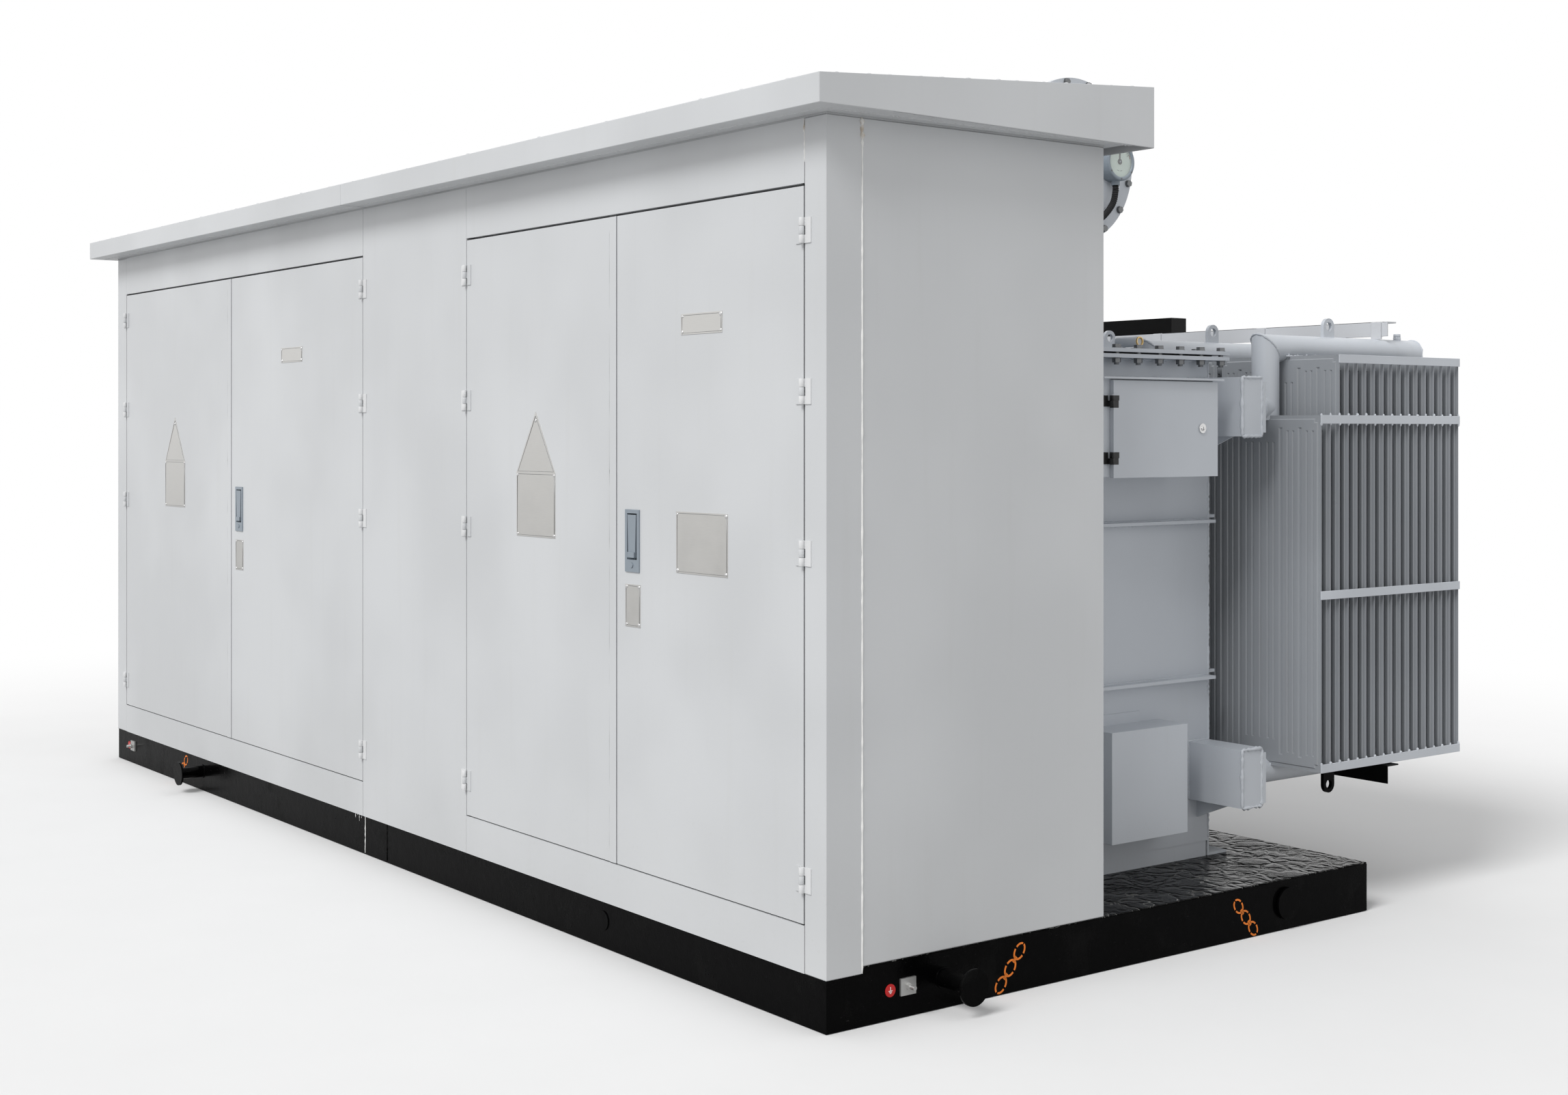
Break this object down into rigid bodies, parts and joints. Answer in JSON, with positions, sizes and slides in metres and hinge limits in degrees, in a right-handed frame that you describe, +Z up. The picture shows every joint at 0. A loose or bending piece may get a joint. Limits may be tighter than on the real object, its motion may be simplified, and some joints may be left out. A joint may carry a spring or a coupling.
{
  "type": "pad-mounted transformer",
  "caption": "Skid-mounted outdoor transformer: sheet-steel switchgear enclosure with hinged door pairs in front, oil tank, panel radiators and conservator behind.",
  "frame": {"origin": "centre of the skid underside, on the ground plane", "axes": "+X along the front to its right-hand end, +Y from the doors to the radiators, +Z up"},
  "size_m": [5.64, 2.912, 2.662],
  "materials": {
    "enclosure_paint": "satin textured light grey powder coat",
    "tank_paint": "satin mid grey paint",
    "black_paint": "glossy black chassis paint, wrinkled on the deck",
    "zinc": "galvanised",
    "rubber": "matte",
    "plate_aluminium": "satin sheet",
    "handle_blue_grey": "semi-gloss zinc casting",
    "core_steel": "laminated sheet edge",
    "copper": "bare copper",
    "porcelain": "brown glaze",
    "breaker_case": "moulded case",
    "knob_red": "gloss red",
    "chrome_lock": "polished"
  },
  "bodies": {
    "base": {"skid_frame": "black_paint", "deck_plate": "black_paint", "lift_sleeves": "black_paint", "earth_terminals": "zinc", "corner_posts": "enclosure_paint", "centre_panel": "enclosure_paint", "door_rails": "enclosure_paint", "end_panels": "enclosure_paint", "rear_panel": "enclosure_paint", "partition": "enclosure_paint", "roof_panels": "enclosure_paint", "rubber_seals": "rubber", "hinge_frame_leaves": "enclosure_paint", "tank": "tank_paint", "tank_cover": "tank_paint", "tank_bolts": "zinc", "core": "core_steel", "windings": "copper", "hv_bushings": "porcelain", "lv_bushings": "porcelain", "lv_busbars": "copper", "lv_breaker": "breaker_case", "load_switch": "breaker_case", "tap_changer": "tank_paint", "radiators": "tank_paint", "radiator_braces": "tank_paint", "conservator": "tank_paint", "conservator_cover": "tank_paint", "oil_gauge": "handle_blue_grey", "gauge_conduit": "rubber", "control_box": "tank_paint", "cable_cover_box": "tank_paint"},
    "front_pin_body": {"lift_pin_front": "black_paint"},
    "rear_pin_body": {"lift_pin_rear": "black_paint"},
    "right_front_pin_body": {"lift_pin_right_front": "black_paint"},
    "right_rear_pin_body": {"lift_pin_right_rear": "black_paint"},
    "left_front_pin_body": {"lift_pin_left_front": "black_paint"},
    "left_rear_pin_body": {"lift_pin_left_rear": "black_paint"},
    "lv_right_door": {"door_lv_right": "enclosure_paint", "plates_lv_right": "plate_aluminium", "handle_plate_lv": "handle_blue_grey"},
    "lv_left_door": {"door_lv_left": "enclosure_paint", "plates_lv_left": "plate_aluminium"},
    "hv_right_door": {"door_hv_right": "enclosure_paint", "plates_hv_right": "plate_aluminium", "handle_plate_hv": "handle_blue_grey"},
    "hv_left_door": {"door_hv_left": "enclosure_paint", "plates_hv_left": "plate_aluminium"},
    "lv_lever": {"handle_lever_lv": "handle_blue_grey"},
    "hv_lever": {"handle_lever_hv": "handle_blue_grey"},
    "lv_button": {"lock_button_lv": "handle_blue_grey"},
    "hv_button": {"lock_button_hv": "handle_blue_grey"},
    "lv_lock_bar": {"lock_bar_lv": "zinc"},
    "hv_lock_bar": {"lock_bar_hv": "zinc"},
    "breaker_knob_body": {"breaker_knob": "knob_red"},
    "switch_knob_body": {"switch_knob": "knob_red"},
    "handwheel_body": {"tap_handwheel": "knob_red"},
    "pointer_body": {"gauge_pointer": "black_paint"},
    "control_door": {"control_box_door": "tank_paint"},
    "cam_lock_body": {"cam_lock": "chrome_lock"}
  },
  "joints": [
    {"name": "front_pin_slide", "type": "slide", "parent": "base", "child": "front_pin_body", "axis": [0, -1, 0], "range_m": [-0.095, 0]},
    {"name": "rear_pin_slide", "type": "slide", "parent": "base", "child": "rear_pin_body", "axis": [0, 1, 0], "range_m": [-0.095, 0]},
    {"name": "right_front_pin_slide", "type": "slide", "parent": "base", "child": "right_front_pin_body", "axis": [1, 0, 0], "range_m": [-0.111, 0]},
    {"name": "right_rear_pin_slide", "type": "slide", "parent": "base", "child": "right_rear_pin_body", "axis": [1, 0, 0], "range_m": [0, 0.111]},
    {"name": "left_front_pin_slide", "type": "slide", "parent": "base", "child": "left_front_pin_body", "axis": [-1, 0, 0], "range_m": [-0.111, 0]},
    {"name": "left_rear_pin_slide", "type": "slide", "parent": "base", "child": "left_rear_pin_body", "axis": [-1, 0, 0], "range_m": [0, 0.111]},
    {"name": "lv_right_door_hinge", "type": "hinge", "parent": "base", "child": "lv_right_door", "pos_m": [2.608, -1.108, 1.214], "axis": [0, 0, 1], "range_deg": [0, 110]},
    {"name": "lv_left_door_hinge", "type": "hinge", "parent": "base", "child": "lv_left_door", "pos_m": [0.771, -1.108, 1.214], "axis": [0, 0, -1], "range_deg": [0, 110]},
    {"name": "hv_right_door_hinge", "type": "hinge", "parent": "base", "child": "hv_right_door", "pos_m": [-0.027, -1.108, 1.214], "axis": [0, 0, 1], "range_deg": [0, 110]},
    {"name": "hv_left_door_hinge", "type": "hinge", "parent": "base", "child": "hv_left_door", "pos_m": [-2.578, -1.108, 1.214], "axis": [0, 0, -1], "range_deg": [0, 110]},
    {"name": "lv_lever_hinge", "type": "hinge", "parent": "lv_right_door", "child": "lv_lever", "pos_m": [1.7925, -1.097, 1.28], "axis": [-1, 0, 0], "range_deg": [0, 60]},
    {"name": "lv_button_slide", "type": "slide", "parent": "lv_right_door", "child": "lv_button", "axis": [0, 1, 0], "range_m": [0, 0.003], "stiffness_N_per_m": 400},
    {"name": "lv_lock_bar_slide", "type": "slide", "parent": "lv_right_door", "child": "lv_lock_bar", "axis": [0, 0, 1], "range_m": [0, 0.02]},
    {"name": "hv_lever_hinge", "type": "hinge", "parent": "hv_right_door", "child": "hv_lever", "pos_m": [-1.1995, -1.097, 1.28], "axis": [-1, 0, 0], "range_deg": [0, 60]},
    {"name": "hv_button_slide", "type": "slide", "parent": "hv_right_door", "child": "hv_button", "axis": [0, 1, 0], "range_m": [0, 0.003], "stiffness_N_per_m": 400},
    {"name": "hv_lock_bar_slide", "type": "slide", "parent": "hv_right_door", "child": "hv_lock_bar", "axis": [0, 0, 1], "range_m": [0, 0.02]},
    {"name": "breaker_knob_turn", "type": "hinge", "parent": "base", "child": "breaker_knob_body", "pos_m": [1.473, -0.576, 0.875], "axis": [0, -1, 0], "range_deg": [0, 90]},
    {"name": "switch_knob_turn", "type": "hinge", "parent": "base", "child": "switch_knob_body", "pos_m": [-0.7, -0.403, 1.33], "axis": [0, -1, 0], "range_deg": [0, 90]},
    {"name": "tap_handwheel_turn", "type": "hinge", "parent": "base", "child": "handwheel_body", "pos_m": [0.298, -0.236, 1.18], "axis": [0, -1, 0], "range_deg": [0, 120]},
    {"name": "gauge_pointer_turn", "type": "hinge", "parent": "base", "child": "pointer_body", "pos_m": [2.205, 0.4895, 2.397], "axis": [1, 0, 0], "range_deg": [-60, 60]},
    {"name": "control_box_door_hinge", "type": "hinge", "parent": "base", "child": "control_door", "pos_m": [2.537, 0.107, 1.5395], "axis": [0, 0, -1], "range_deg": [0, 110]},
    {"name": "cam_lock_turn", "type": "hinge", "parent": "control_door", "child": "cam_lock_body", "pos_m": [2.535, 0.5, 1.54], "axis": [1, 0, 0], "range_deg": [0, 90]}
  ],
  "couplings": [
    {"joint": "lv_lock_bar_slide", "follows": "lv_lever_hinge", "m_per_rad": 0.019},
    {"joint": "hv_lock_bar_slide", "follows": "hv_lever_hinge", "m_per_rad": 0.019}
  ]
}
